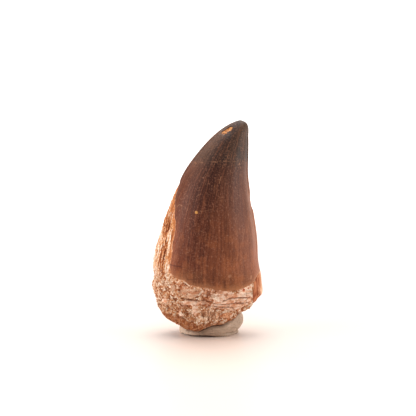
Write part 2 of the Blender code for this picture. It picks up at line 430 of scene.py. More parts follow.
def apply_modifier(piece, kind, **settings):
    """Adds a modifier with some settings and applies it."""
    only(piece)
    bpy.ops.object.modifier_add(type=kind)
    modifier = piece.modifiers[-1]
    for name, value in settings.items():
        setattr(modifier, name, value)
    bpy.ops.object.modifier_apply(modifier=modifier.name)


# %% Subdivide the tooth
BARE_MARGIN_MM = 0.5
UNDERSIDE_NORMAL_Z = -0.6
BACK_NORMAL_Y = 0.6

tooth = merged_copy("tooth", "tooth_surface")
print("merged tooth:", len(tooth.data.vertices), "points,", len(tooth.data.polygons), "faces")
apply_modifier(tooth, "SUBSURF", levels=2, render_levels=2)

middles = np.array([face.center for face in tooth.data.polygons]) / MM
_, normal_y, normal_z = np.array([face.normal for face in tooth.data.polygons]).T
bare = enamel_distance(middles) < BARE_MARGIN_MM
bare &= (normal_z > UNDERSIDE_NORMAL_Z) & (normal_y < BACK_NORMAL_Y)
tooth.data.polygons.foreach_set("select", bare)
bpy.ops.object.mode_set(mode="EDIT")
bpy.ops.mesh.subdivide(number_cuts=1, smoothness=0)
bpy.ops.object.mode_set(mode="OBJECT")
triangles = sum(len(face.vertices) - 2 for face in tooth.data.polygons)
print("bare faces split:", int(bare.sum()), "- triangles now:", triangles)

# %% [markdown]
# ## Noise on the points
#
# Broken stone is lumps within lumps. Two kinds of noise make it: a smooth one for swells and raggedness, and
# a cellular one for grains that are packed together. Both are read at every point of the mesh, at whatever
# size is needed. The grains are read through a warp, so that they don't come out as neat round beads.

# %% Points, normals and noise
GAP_SHARE = 0.5
TONE_SPREAD = 37.3


def points_of(mesh):
    """Every vertex of a mesh in millimetres, as rows of x, y and z."""
    flat = np.empty(len(mesh.vertices) * 3)
    mesh.vertices.foreach_get("co", flat)
    return flat.reshape(-1, 3) / MM


def normals_of(mesh):
    """The direction that the surface faces at every vertex."""
    flat = np.empty(len(mesh.vertices) * 3, np.float32)
    mesh.vertex_normals.foreach_get("vector", flat)
    return flat.reshape(-1, 3)


def wobble(points, size, place):
    """Smooth noise from about -1 to 1, in lumps of the given size, read at every point."""
    shift = Vector(place)
    return np.array([noise.noise(Vector(point) / size + shift) for point in points])


def packed_grains(points, size, place):
    """Grains packed together: 1 inside a grain and 0 in the gaps, and a tone from 0 to 1 for each grain."""
    shift = Vector(place)
    height = np.empty(len(points))
    tone = np.empty(len(points))
    for i, point in enumerate(points):
        distances, middles = noise.voronoi(Vector(point) / size + shift)
        height[i] = distances[1] - distances[0]
        tone[i] = noise.cell(middles[0] * TONE_SPREAD)
    return ease(height / GAP_SHARE), 0.5 + 0.5 * tone


# %% Fields on the tooth
#
# In round_the_tooth one degree of turn counts as one millimetre, so noise read there narrows with the
# tooth towards the tip.
FRONT, BACK = 1, -1
DEGREES_ROUND = 57.3
WARP_MM = 0.45
COARSE_GRAIN_MM = 0.62
FINE_GRAIN_MM = 0.36

points = points_of(tooth.data)
normals = normals_of(tooth.data)
x, y, z = points.T
turn = turn_of(points)
side = np.where(turn >= 0, FRONT, BACK)
from_left, from_right = np.abs(turn), 180 - np.abs(turn)
across, facing = -np.cos(np.radians(turn)), np.sin(np.radians(turn))
round_the_tooth = np.stack([across * DEGREES_ROUND, facing * DEGREES_ROUND, z], axis=1)

warp = np.stack([wobble(points, 1.1, (i, 3 * i, 7)) for i in range(3)], axis=1) * WARP_MM
coarse, coarse_tone = packed_grains(points + warp, COARSE_GRAIN_MM, (0, 7, 2))
fine, _ = packed_grains(points + warp, FINE_GRAIN_MM, (6, 6, 1))
swell = wobble(points, 2.6, (4, 4, 1))
rough_mid = wobble(points, 1.2, (8, 1, 3))
rough_fine = wobble(points, 0.5, (7, 7, 7))
print("points:", len(points), "- mean tone of the coarse grains:", round(float(coarse_tone.mean()), 2))

# %% [markdown]
# ## Masks for each kind of surface
#
# The tooth has five kinds of surface: enamel, the fibrous strip where it has come away, the sandy root, the
# smooth pale plates of bone in it, and the orange plate at the right corner. Each is a number from 0 to 1 at
# every point, so relief and colour can share it and always agree. The plates and the rusty patches of the
# root are ovals with ragged edges, placed on the front and on the back. A round nodule and a comb of short
# upright ridges are made the same way.

# %% Ovals of the root
#
# Each oval is its side, the x and z of its middle, and half its width and height.
PALE_PLATES = (
    (FRONT, -5.2, 12.0, 2.3, 1.4), (FRONT, -4.8, 9.45, 2.5, 0.6), (FRONT, -3.9, 7.6, 1.0, 1.6),
    (FRONT, -7.5, 6.4, 0.6, 0.7), (FRONT, 3.0, 10.5, 2.6, 2.0), (FRONT, 5.6, 9.4, 3.4, 2.3),
    (FRONT, 8.3, 10.2, 2.0, 2.2), (FRONT, 9.3, 12.4, 1.1, 0.8), (FRONT, 1.6, 9.0, 1.2, 1.2),
    (FRONT, -9.2, 13.1, 0.7, 0.9), (FRONT, -11.6, 9.4, 0.7, 0.7), (BACK, -2.0, 10.4, 4.2, 2.2),
    (BACK, 6.4, 9.9, 2.8, 2.1), (BACK, -8.6, 11.2, 2.1, 2.6), (BACK, 1.6, 6.1, 2.2, 1.2),
    (BACK, -5.2, 6.0, 1.3, 1.0),
)
RUST = (
    (FRONT, -1.1, 12.3, 1.9, 0.9), (FRONT, -0.9, 9.6, 1.3, 1.4), (FRONT, -6.6, 8.4, 1.4, 0.6),
    (FRONT, -7.9, 13.6, 1.3, 0.7), (FRONT, 8.4, 12.4, 0.6, 0.5), (BACK, 2.5, 12.0, 1.8, 1.2),
    (BACK, -5.6, 8.2, 1.8, 1.3), (BACK, 9.0, 7.9, 1.4, 1.0),
)
NODULE = (FRONT, 3.95, 5.85, 1.5, 0.8)
COMB = (FRONT, -0.6, 5.9, 3.2, 1.3)
FAR_OUTSIDE = -9.0


def ovals(places, edge_noise, softness=0.3):
    """1 inside any of some ovals, and 0 outside."""
    depth = np.full(len(points), FAR_OUTSIDE)
    for oval_side, middle_x, middle_z, half_width, half_height in places:
        reach = np.hypot((x - middle_x) / half_width, (z - middle_z) / half_height)
        inside = (1 - reach) * min(half_width, half_height)
        depth = np.maximum(depth, np.where(side == oval_side, inside, FAR_OUTSIDE))
    return ease((depth + edge_noise) / softness + 0.5)


# %% Enamel, strip and corner
EDGE_SOFTNESS = 0.32
STRIP_FROM_Z = 13.0
CORNER_FROM_X = 10.3
CORNER_FROM_Z = 8.0

edge = enamel_distance(points)
ragged = 0.26 * wobble(points, 2.0, (3, 1, 4)) + 0.20 * rough_mid + 0.12 * rough_fine
edge = edge + ragged * np.where(edge < 2, 1.0, 0.3)
enamel = ease(edge / EDGE_SOFTNESS + 0.5)
bared = 1 - enamel
strip = bared * ease((z - STRIP_FROM_Z + 1.6 * swell) / 5.5) * (from_left < 90)
behind = ease(y / 2.5)
corner_x = CORNER_FROM_X - 0.35 * rough_mid + (0.6 + 1.6 * swell) * behind
corner_z = CORNER_FROM_Z - 0.8 * rough_mid * behind
corner = bared * ease((x - corner_x) / 0.4) * ease(z - corner_z) * (1 - strip)

# %% Parts of the root
#
# RIM is the height of the root's lower edge for each x, and RIM_WIDTH how far the brown rim goes up from it.
RIM = (
    (-14.2, 6.8), (-13.2, 5.1), (-11.9, 4.2), (-10.1, 3.3), (-8.1, 2.4), (-5.5, 1.7), (-3.0, 1.45),
    (-1.2, 1.8), (0.5, 2.3), (2.8, 2.9), (4.6, 3.7), (6.4, 4.7), (7.5, 5.5), (8.8, 6.2), (10.6, 7.1),
    (11.7, 8.7), (12.2, 10.2),
)
RIM_WIDTH = (
    (-14.2, 1.0), (-11.0, 2.4), (-8.0, 3.0), (-3.5, 2.0), (0.0, 1.3), (4.0, 0.9), (8.0, 0.6), (12.0, 0.5),
)

root = bared * (1 - strip) * (1 - corner)
rim_depth = read(RIM_WIDTH, x) - (z - read(RIM, x)) + 0.7 * rough_mid + 0.3 * rough_fine
rim = ease(rim_depth / 0.6 + 0.5) * root
pale = ovals(PALE_PLATES, 0.6 * rough_mid + 0.4 * rough_fine) * root * (1 - rim)
rust = ovals(RUST, 0.8 * rough_mid + 0.5 * rough_fine, 0.8) * root
nodule = ovals([NODULE], 0.3 * rough_mid + 0.2 * rough_fine) * root
comb = ovals([COMB], 0.5 * rough_mid) * root * (1 - nodule) * (1 - pale) * (1 - 0.7 * rim)
grainy = root * (1 - pale) * (1 - nodule)
print("pale share of the root:", round(float(pale.sum() / root.sum()), 2))

# %% [markdown]
# ## Relief
#
# Real relief, not only a bump in the material, is what makes the root look broken from any side. The sandy
# root is grains of two sizes on soft swells. About a third of the larger grains have fallen out and left
# their sockets, which is where most of the root's contrast comes from. The plates lie a little proud and
# weather along their layers, like wood. The bared strip has long fibres with rows of pits between them. It
# and the corner plate also stand out a little, to follow the photograph's outline.

# %% Cracks of the root
#
# Each crack is its half width and the x and z of the points that it runs through.
CRACKS = (
    (0.26, ((-7.4, 10.35), (-6.2, 10.3), (-4.9, 10.1), (-3.4, 10.0))),
    (0.13, ((-3.4, 10.0), (-1.4, 9.9), (0.4, 9.5))),
    (0.15, ((3.0, 9.9), (4.7, 10.4), (7.2, 10.3), (9.8, 10.1))),
    (0.10, ((0.6, 9.3), (2.4, 9.0), (3.8, 8.9))),
    (0.12, ((3.8, 8.9), (6.2, 9.0), (9.2, 8.7))),
    (0.12, ((0.9, 8.5), (2.6, 8.2), (5.4, 7.9))),
)


def from_path(path):
    """Distance in x and z from a path of straight runs, at every point."""
    nearest = np.full(len(points), 99.0)
    for (begin_x, begin_z), (end_x, end_z) in zip(path, path[1:]):
        run_x, run_z = end_x - begin_x, end_z - begin_z
        share = ((x - begin_x) * run_x + (z - begin_z) * run_z) / (run_x ** 2 + run_z ** 2)
        share = np.clip(share, 0, 1)
        nearest = np.minimum(nearest, np.hypot(x - begin_x - share * run_x, z - begin_z - share * run_z))
    return nearest


cracks = np.zeros(len(points))
for width, path in CRACKS:
    cracks = np.maximum(cracks, ease((width - from_path(path) - 0.12 * rough_fine) / 0.12 + 0.3))
cracks = cracks * (side == FRONT) * root

# %% Sockets, layers and fibres
#
# column is how many millimetres a point lies to the right of the enamel's broken edge, so it is below 0 on
# the strip. The pits of the strip keep to one column of it.
LOST_GRAINS = 0.34
LAYERS_PER_LUMP = 2.2
PIT_COLUMN = (-3.0, -1.3)

sockets = ease((LOST_GRAINS - coarse_tone) / 0.1 + 0.5) * coarse
pits = ease((rough_mid + 0.55 * rough_fine - 0.18) / 0.3)
layers = wobble(points * (0.42, 0.42, 1.15) + 0.5 * warp, 1.5, (2, 2, 9)) * LAYERS_PER_LUMP
contour = ease(1 - np.abs(layers - np.round(layers)) / 0.25)
teeth = ease(0.5 + 1.6 * wobble(points * (2.2, 2.2, 0.4), 1.0, (3, 3, 3)))

half_width = (read(RIGHT_EDGE, z) - read(LEFT_EDGE, z)) / 2
column = half_width * (across + np.cos(np.radians(break_of(points))))
fibre_place = round_the_tooth / (3.0, 3.0, 5.0)
fibres = wobble(fibre_place, 1.0, (1, 2, 3)) + 0.7 * wobble(fibre_place * (2.3, 2.3, 2.6), 1.0, (5, 2, 8))
in_pit_column = ease((column - PIT_COLUMN[0]) / 0.5) * ease((PIT_COLUMN[1] - column) / 0.5)
pit_noise = wobble(round_the_tooth / (2.2, 2.2, 1.3), 1.0, (9, 9, 2)) + 0.4 * rough_fine
fibre_pits = ease((pit_noise - 0.08) / 0.22) * (0.3 + 0.7 * in_pit_column)

# %% Relief of the bare surfaces
#
# All heights and depths are in millimetres.
GRAIN_MIDDLE = 0.6
SOCKET_DEPTH = 0.30
PLATE_STEP = 0.10
NODULE_STEP = 0.24
STRIP_STEP = 0.34
CORNER_STEP = 0.36
CRACK_DEPTH = 0.34

coarse_bump, fine_bump = coarse - GRAIN_MIDDLE, fine - GRAIN_MIDDLE
sand = 0.14 * swell + 0.20 * coarse_bump + 0.08 * fine_bump - SOCKET_DEPTH * sockets - 0.20 * pits
relief = grainy * (1 - 0.45 * rim) * sand
relief += pale * (PLATE_STEP + 0.08 * swell - 0.09 * contour + 0.04 * fine_bump - 0.10 * pits)
relief += nodule * (NODULE_STEP + 0.10 * swell + 0.05 * fine_bump)
relief += comb * 0.28 * (teeth - GRAIN_MIDDLE)
relief += strip * (0.16 * fibres + 0.06 * fine_bump - 0.22 * fibre_pits)
relief += bared * STRIP_STEP * ease((39.0 - z) / 4) * ease((z - 9.0) / 3) * ease(1 - from_left / 60)
relief += corner * (CORNER_STEP + 0.16 * wobble(points * (1, 1, 0.2), 0.9, (2, 5, 5)) + 0.08 * swell)
relief -= cracks * CRACK_DEPTH

# %% [markdown]
# ## Relief of the enamel
#
# The enamel keeps a clean step above the bare surfaces. On it there are only the chip by the tip, a yellow
# crumb, very low waves along its length, and a fine keel up each edge, worn flat for a short way on the
# right. Subdivision drew in the blunt tip a little, so its shoulder is pushed back out. Everything is added
# up and moved along the normals.

# %% Chip, spot, keels and tip
TIP_CHIP = ((3.3, -0.1, 50.95), (4.6, 0.15, 51.9))
CHIP_HALF_WIDTH = 0.74
SPOT = (-3.6, 32.0)
SPOT_RADIUS = 0.42
TIP_SHOULDER = (8.5, 52.4)
SHOULDER_RADIUS = 2.4
KEEL_DEGREES = 2.5

chip_begin, chip_run = np.array(TIP_CHIP[0]), np.subtract(TIP_CHIP[1], TIP_CHIP[0])
chip_share = np.clip((points - chip_begin) @ chip_run / (chip_run @ chip_run), 0, 1)
chip_distance = np.linalg.norm(points - chip_begin - chip_share[:, None] * chip_run, axis=1)
chip = ease((1.05 - chip_distance / CHIP_HALF_WIDTH + 0.4 * rough_fine + 0.25 * rough_mid) / 0.3)
spot = ease((1 - np.hypot(x - SPOT[0], z - SPOT[1]) / SPOT_RADIUS) / 0.4) * (side == FRONT)
worn = ease(1 - from_right / 9) * ease((z - 31.0) / 1.6) * ease((36.5 - z) / 3)
keel = np.exp(-(from_right / KEEL_DEGREES) ** 2) * (1 - worn) + np.exp(-(from_left / KEEL_DEGREES) ** 2)
keel = keel * ease((z - 18) / 4) * ease((53 - z) / 3)
waves = wobble(round_the_tooth / (11.0, 11.0, 14.0), 1.0, (6, 2, 2))
shoulder = ease(1 - np.hypot(x - TIP_SHOULDER[0], z - TIP_SHOULDER[1]) / SHOULDER_RADIUS)

# %% Enamel relief and the move
ENAMEL_STEP = 0.24
HEM_THINNING = 0.06
HEM_WIDTH = 1.2
WAVE_HEIGHT = 0.05
KEEL_HEIGHT = 0.10
CHIP_DEPTH = 0.20
SPOT_HEIGHT = 0.08
SHOULDER_PUSH = 0.30
WORN_DEPTH = 0.18

relief += ENAMEL_STEP * (enamel - 0.5)
relief -= enamel * HEM_THINNING * ease((HEM_WIDTH - edge) / HEM_WIDTH)
relief += enamel * (WAVE_HEIGHT * waves + KEEL_HEIGHT * keel)
relief -= chip * (CHIP_DEPTH + 0.10 * fine)
relief += spot * SPOT_HEIGHT + shoulder * SHOULDER_PUSH
relief -= worn * WORN_DEPTH

moved = points + normals * relief[:, None]
tooth.data.vertices.foreach_set("co", (moved * MM).ravel())
tooth.data.update()
only(tooth)
bpy.ops.object.shade_smooth()
print("relief from", round(float(relief.min()), 2), "to", round(float(relief.max()), 2), "mm")

# %% [markdown]
# ## Handing the masks to the material
#
# A material can't run these sums again, but it can read numbers stored on the points. Each mask that it
# needs becomes a named attribute. The gaps between grains, the sockets and the pits are stored too, because
# dirt stays in them and they are darker than their surroundings.

# %% Attributes


def store(piece, **fields):
    """Stores arrays of one number a point as attributes with the same names."""
    for name, values in fields.items():
        attribute = piece.data.attributes.new(name, "FLOAT", "POINT")
        attribute.data.foreach_set("value", np.asarray(values, np.float32))


hollows = grainy * (1 - comb) * np.maximum(np.maximum(sockets, 0.8 * pits), 0.55 * (1 - coarse))
hollows += comb * np.maximum(1 - teeth, 0.5 * pits) + pale * np.maximum(0.5 * contour, 0.7 * pits)
hollows += strip * np.maximum(fibre_pits, np.clip(-1.2 * fibres, 0, 1))
hollows = np.clip(hollows, 0, 1)
store(tooth, around=from_left, across=across, facing=facing, enamel_edge=edge, column=column)
store(tooth, strip=strip, corner=corner, pale=pale, rust=rust, rim=rim, comb=comb, nodule=nodule)
store(tooth, chip=chip, spot=spot, cracks=cracks, hollows=hollows, coarse_tone=coarse_tone)
print("attributes on the tooth:", len(tooth.data.attributes))

# %% [markdown]
# ## The enamel's colour
#
# The enamel is dark red-brown, greyer towards the tip, with streaks that run up it. It is darkest just left
# of the middle and turns lighter and browner to the right. This is partly its own colour and partly painted
# light: painted shade just left of the middle of each face, painted highlights towards both edges, and a
# painted sheen at the upper left. The colours are mixed from masks: each layer is painted over or stains the
# one below. Streaks are noise drawn out along the tooth, and scratches and cracks are found by their distance
# from a straight line.

# %% Streaks and lines


def streaks(at, degrees, length, detail=2.0):
    """Noise drawn out along the tooth, from 0 to 1 about 0.5, in bands of some degrees of turn."""
    scale = math.degrees(1) / degrees
    sockets = {0: at.across * scale, 1: at.facing * scale, 2: at.z / length}
    return cloud(at, 1.0, detail, place=at.start.node("ShaderNodeCombineXYZ", 0, None, sockets))


def line(at, begin, end, width):
    """1 on a line of the front from begin to end, each an x and a z."""
    begin, end = Vector((begin[0], 0, begin[1])), Vector((end[0], 0, end[1]))
    run = end - begin
    offset = at.flat.vector("SUBTRACT", begin)
    share = offset.vector("DOT_PRODUCT", run / run.length_squared, "Value")
    share = at.start.node("ShaderNodeClamp", 0, None, {0: share})
    along = at.start.node("ShaderNodeVectorMath", 0, {"operation": "SCALE"}, {0: run, "Scale": share})
    distance = offset.vector("SUBTRACT", along).vector("LENGTH", (0, 0, 0), "Value")
    return distance.between(width, width * 0.4) * at.front


# %% Enamel colour
#
# height is the colour from root to tip, and shade what it is multiplied by from the left edge to the right:
# partly the enamel's own tint, partly painted shade just left of the middle and painted highlight towards
# both edges.
TOOTH_HEIGHT = 54.0
DARK_STREAK = (0.55, 0.48, 0.44)


def enamel_colour(at):
    """The enamel's colour, and the height of its streaks in millimetres."""
    broad, narrow, hair = streaks(at, 9.0, 26.0), streaks(at, 2.4, 6.5), streaks(at, 0.9, 2.6)
    mottle, speckle, grit = cloud(at, 2.2, 3.0), cloud(at, 0.45, 2.0), cloud(at, 0.28, 1.0)
    height = (at.z / TOOTH_HEIGHT).ramp(
        (0.22, srgb(156, 94, 54)), (0.27, srgb(136, 73, 41)), (0.32, srgb(136, 71, 41)),
        (0.45, srgb(121, 61, 35)), (0.62, srgb(102, 53, 35)), (0.78, srgb(84, 47, 35)),
        (0.83, srgb(66, 46, 38)), (0.97, srgb(78, 54, 42)),
    )
    shade = (at.around / 180.0 + (broad - 0.5) * 0.12).ramp(
        (0.18, (1.03, 0.90, 0.62)), (0.28, (0.88, 0.77, 0.55)), (0.36, (0.50, 0.43, 0.40)),
        (0.48, (0.43, 0.38, 0.37)), (0.56, (0.70, 0.73, 0.70)), (0.68, (0.85, 0.96, 0.92)),
        (0.84, (0.89, 1.0, 0.96)),
    )
    colour = height.vector("MULTIPLY", shade)
    # Painted highlight: a band up the right edge is painted lighter for the side lamp's sheen at the grazing
    # edge, fading out towards the tip.
    light = (at.around + (broad - 0.5) * 14.0).between(142.0, 172.0) * at.z.between(8.0, 14.0)
    edge_highlight_colour = at.z.between(19.0, 26.0).paint(srgb(172, 102, 68), srgb(178, 124, 96))
    colour = (light * (1 - at.z.between(34.0, 46.0)) * 0.52).paint(colour, edge_highlight_colour)
    # Painted sheen: the upper left of the crown is painted paler, a painted highlight where the left lamp's
    # soft reflection falls.
    upper_left_sheen = at.z.between(38.0, 45.0) * at.around.between(80.0, 45.0) * (1 - at.z.between(49.0, 52.0))
    colour = (upper_left_sheen * 0.11).paint(colour, srgb(156, 116, 100))
    warm = mottle.between(0.48, 0.64) * (1 - at.z.between(22.0, 34.0))
    colour = (warm * 0.22).paint(colour, srgb(168, 96, 54))
    colour = (narrow.between(0.52, 0.36) * 0.56).stain(colour, DARK_STREAK)
    colour = (narrow.between(0.55, 0.70) * 0.26).paint(colour, srgb(146, 86, 58))
    colour = (hair.between(0.56, 0.72) * 0.4 * mottle.between(0.36, 0.6)).paint(colour, srgb(160, 104, 72))
    colour = (hair.between(0.46, 0.32) * 0.5).stain(colour, DARK_STREAK)
    colour = (speckle.between(0.44, 0.30) * 0.45).stain(colour, DARK_STREAK)
    colour = (speckle.between(0.56, 0.74) * 0.36).paint(colour, srgb(158, 108, 84))
    colour = (grit.between(0.56, 0.76) * 0.26).paint(colour, srgb(164, 120, 98))
    return colour, narrow * 0.034 + hair * 0.030 + speckle * 0.022


# %% Marks on the enamel
#
# Each mark is a line's two ends as x and z, its half width and its strength.
PALE_SCRATCH = srgb(172, 122, 90)
DARK_CRACK = (0.32, 0.27, 0.27)
SCRATCHES = (
    ((2.0, 39.0), (2.5, 40.6), 0.10, 0.5), ((-3.2, 32.1), (0.6, 32.9), 0.08, 0.22),
    ((-8.4, 33.0), (-7.9, 33.5), 0.11, 0.4), ((-7.9, 33.5), (-7.2, 33.4), 0.11, 0.4),
    ((-7.2, 33.4), (-7.1, 31.8), 0.09, 0.22), ((7.0, 43.6), (7.1, 43.3), 0.2, 0.4),
    ((7.3, 42.7), (7.3, 42.4), 0.16, 0.3), ((-3.6, 35.8), (-2.6, 36.4), 0.10, 0.25),
    ((4.5, 16.2), (4.7, 16.3), 0.5, 0.45), ((9.9, 15.0), (10.0, 15.6), 0.32, 0.5),
    ((7.6, 24.0), (8.3, 27.5), 0.09, 0.25), ((-9.6, 30.8), (-9.4, 30.2), 0.16, 0.3),
)
DARK_CRACKS = (
    ((-10.3, 18.9), (-7.2, 18.55), 0.15, 0.75), ((-7.2, 18.55), (-5.2, 18.2), 0.12, 0.4),
    ((-5.9, 15.45), (-2.5, 15.8), 0.11, 0.55), ((-2.5, 15.8), (0.8, 15.6), 0.11, 0.45),
    ((-7.4, 16.9), (-4.2, 17.5), 0.09, 0.3),
)


def enamel_marks(at, colour):
    """The enamel's colour with its hem, cracks, scratches, chip and yellow spot."""
    hem_band = at.edge.between(1.6, 0.1) * (1 - at.z.between(15.0, 19.0))
    colour = (hem_band * 0.42).paint(colour, srgb(170, 114, 78))
    lens = (at.z + (cloud(at, 3.0) - 0.5) * 3.0).between(18.9, 16.6) * at.x.between(1.0, -8.0) * at.front
    colour = (lens * 0.20).paint(colour, srgb(170, 116, 76))
    pale_hem = at.edge.between(0.26, 0.05) * (cloud(at, 1.6) + 0.1).between(0.42, 0.6)
    colour = (pale_hem * 0.6).paint(colour, srgb(210, 162, 126))
    crack = abs(at.z + (cloud(at, 2.2) - 0.5) * 1.4 + abs(at.x - 2.5) * 0.12 - 44.4).between(0.14, 0.03)
    crack = crack * cloud(at, 0.9).between(0.44, 0.6)
    colour = (crack * 0.4).paint(colour, PALE_SCRATCH)
    for begin, end, width, strength in SCRATCHES:
        colour = (line(at, begin, end, width) * strength).paint(colour, PALE_SCRATCH)
    for begin, end, width, strength in DARK_CRACKS:
        colour = (line(at, begin, end, width) * strength).stain(colour, DARK_CRACK)
    chipped = cloud(at, 0.55).ramp(
        (0.32, srgb(104, 66, 44)), (0.42, srgb(166, 100, 52)), (0.53, srgb(198, 128, 70)),
        (0.66, srgb(212, 160, 106)),
    )
    colour = stored(at, "chip").between(0.3, 0.6).paint(colour, chipped)
    return stored(at, "spot").between(0.25, 0.5).paint(colour, srgb(186, 130, 68))


# %% [markdown]
# ## The colours of the root and the strip
#
# The sand of the root is cream and orange grains with rust between them, and the plates are pale pink bone
# with brown lines. The strip is the same bone, but it breaks into fibres: cream at the outline, a column of
# red-brown pits, cream again, and an orange band against the enamel. Dirt in the hollows is what ties the
# colour to the relief.

# %% Sand and bone
CREAM = srgb(250, 228, 206)
ORANGE = srgb(206, 136, 90)


def grain_texture(at):
    """Small grains in the material itself: how near a gap each point is, and a tone for each grain."""
    sockets = {"Vector": at.place, "Scale": 1 / 0.9, "Detail": 1.0}
    swirl = at.start.node("ShaderNodeTexNoise", "Color", None, sockets)
    swirl = swirl.vector("SUBTRACT", (0.5, 0.5, 0.5)).vector("MULTIPLY", (0.8, 0.8, 0.8))
    sockets = {"Vector": at.place.vector("ADD", swirl), "Scale": 1 / 0.36}
    gap = at.start.node("ShaderNodeTexVoronoi", "Distance", None, sockets)
    tone = at.start.node("ShaderNodeTexVoronoi", "Color", None, sockets)
    return gap.between(0.35, 0.70), tone.node("ShaderNodeSeparateColor", 0, None, {0: tone})


def sand_colour(at):
    """Cream and orange grains, rusty patches, and the brown rim."""
    tone = stored(at, "coarse_tone") * 0.4 + at.grain * 0.6
    colour = tone.ramp(
        (0.18, srgb(172, 106, 66)), (0.38, srgb(206, 146, 102)), (0.50, srgb(224, 174, 134)),
        (0.62, srgb(240, 208, 180)), (0.76, CREAM),
    )
    colour = (cloud(at, 2.0, 3.0).between(0.50, 0.64) * 0.4).paint(colour, ORANGE)
    colour = (stored(at, "rust") * 0.6).paint(colour, srgb(196, 122, 84))
    brown = cloud(at, 0.8).ramp((0.3, srgb(162, 92, 50)), (0.7, srgb(206, 140, 92)))
    colour = (stored(at, "rim") * 0.78).paint(colour, brown)
    lower_left = at.z.between(12.5, 7.0) * at.x.between(-3.0, -6.0)
    return (lower_left * 0.8).stain(colour, (0.81, 0.74, 0.68))


def bone_colour(at):
    """Pale pink plates with brown veins and layers."""
    layers = cloud(at, 1.0, 4.0, place=at.place.vector("MULTIPLY", (0.6, 0.6, 1.4)))
    colour = layers.ramp(
        (0.34, srgb(206, 142, 106)), (0.45, srgb(226, 178, 148)), (0.55, srgb(238, 208, 186)), (0.66, CREAM),
    )
    colour = (cloud(at, 1.3, 3.0).between(0.50, 0.62) * 0.32).paint(colour, srgb(222, 164, 128))
    tan = at.x.between(-1.0, -2.5) * at.z.between(9.6, 10.6)
    colour = (tan * 0.9).stain(colour, (0.70, 0.58, 0.49))
    vein = abs(cloud(at, 1.0, 2.0, 1.5) - 0.5).between(0.04, 0.0)
    colour = (vein * 0.5).paint(colour, srgb(196, 124, 88))
    return (cloud(at, 0.5).between(0.42, 0.30) * 0.6).stain(colour, (0.70, 0.56, 0.48))


# %% Strip and corner plate


def strip_colour(at):
    """Columns of cream and red-brown fibres, with an orange band beside the enamel."""
    column = stored(at, "column") + (streaks(at, 3.0, 5.0) - 0.5) * 1.4
    cream_column = column.between(-1.6, -1.3) * column.between(-0.6, -0.8) + column.between(-2.8, -3.3)
    pit_column = column.between(-2.8, -2.4) * column.between(-1.4, -1.8)
    tone = streaks(at, 2.0, 3.4, 3.0) * 0.72 + cloud(at, 0.45, 2.0) * 0.28
    tone = tone + cream_column * 0.07 - pit_column * 0.05 - column.between(-4.2, -4.8) * 0.05
    colour = tone.ramp(
        (0.38, srgb(126, 62, 34)), (0.44, srgb(182, 106, 60)), (0.50, srgb(214, 146, 92)),
        (0.56, srgb(236, 188, 146)), (0.62, srgb(254, 236, 216)),
    )
    colour = (at.z.between(27.0, 33.0) * 0.6).paint(colour, srgb(190, 121, 71))
    colour = (at.z.between(21.0, 17.0) * 0.7).stain(colour, (0.90, 0.83, 0.78))
    beside = column.between(-0.75, -0.45) * at.z.between(17.5, 20.0)
    colour = (beside * 0.7).paint(colour, srgb(206, 132, 82))
    colour = (line(at, (-10.4, 18.5), (-11.35, 15.7), 0.36) * 0.85).paint(colour, CREAM)
    return (line(at, (-13.75, 17.3), (-13.75, 15.0), 0.32) * 0.7).paint(colour, CREAM)


def corner_colour(at):
    """An orange-brown plate with an upright grain, paler where it reaches the outline."""
    grain = cloud(at, 1.0, 4.0, place=at.place.vector("MULTIPLY", (1.2, 1.2, 0.25)))
    colour = grain.ramp((0.36, srgb(128, 62, 38)), (0.5, srgb(160, 88, 56)), (0.62, srgb(190, 121, 84)))
    outer = (at.x + (cloud(at, 1.0) - 0.5) * 1.0).between(11.75, 12.05)
    outer = outer * (at.z + (grain - 0.5) * 4.0).between(10.0, 11.0)
    wood = grain.ramp((0.38, srgb(190, 120, 82)), (0.5, srgb(222, 164, 126)), (0.6, srgb(238, 196, 164)))
    colour = (outer * (at.y + (grain - 0.5) * 6.0).between(1.4, -1.2) * 0.9).paint(colour, wood)
    return (abs(at.x - 11.5).between(0.2, 0.06) * at.front * 0.5).stain(colour, (0.5, 0.4, 0.35))


# %% All bare surfaces together
DIRT = (0.48, 0.34, 0.26)
CRACK_DIRT = (0.38, 0.24, 0.17)
# The four small dots at z about 5, from x -3.6 to -1.1, are painted glints on the comb: painted highlights.
# The other marks are cream marks of the bone.
CREAM_MARKS_AND_GLINTS = (
    ((-3.0, 11.5), (-2.1, 12.5), 0.28), ((-6.7, 14.8), (-5.4, 13.9), 0.26), ((5.0, 5.6), (5.3, 5.9), 0.34),
    ((-3.6, 5.4), (-3.5, 5.5), 0.26), ((-3.0, 4.9), (-2.9, 5.0), 0.22), ((-2.3, 5.5), (-2.2, 5.5), 0.28),
    ((-1.2, 5.2), (-1.1, 5.3), 0.24), ((7.7, 11.6), (8.5, 11.3), 0.26), ((10.0, 12.4), (10.1, 11.8), 0.24),
)
RED = srgb(166, 76, 46)
RED_MARKS = (((8.05, 12.3), (8.15, 12.25), 0.42), ((9.25, 12.6), (9.35, 12.55), 0.28))


